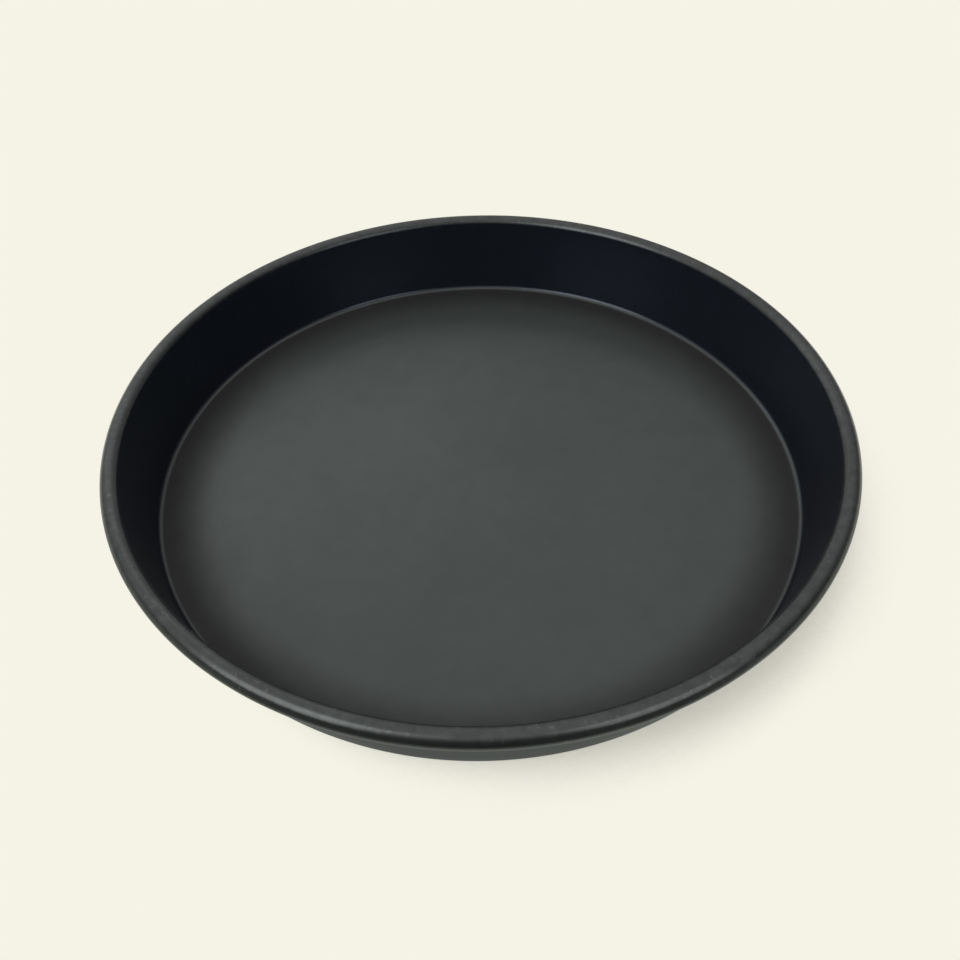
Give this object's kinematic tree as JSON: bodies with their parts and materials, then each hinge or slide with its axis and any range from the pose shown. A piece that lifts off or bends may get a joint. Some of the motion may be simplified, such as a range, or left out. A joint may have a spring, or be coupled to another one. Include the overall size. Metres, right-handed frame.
{
  "type": "pizza pan",
  "caption": "Round tapered deep pizza pan: a flat floor, a small corner bend, a wall leaning outwards and a rolled bead around a stiffening wire.",
  "frame": {"origin": "the middle of the flat underside, on the surface that the pan stands on", "axes": "+Z is the pan's axis, upwards out of the mouth; +X and +Y are alike, because the pan is round"},
  "size_m": [0.3209, 0.321, 0.0406],
  "materials": {
    "dark_hard_coat": "satin dark grey hard coat, slightly mottled",
    "plain_wire": "dull plated wire"
  },
  "bodies": {
    "root": {"pan_body": "dark_hard_coat", "rim_wire": "plain_wire"}
  },
  "joints": []
}
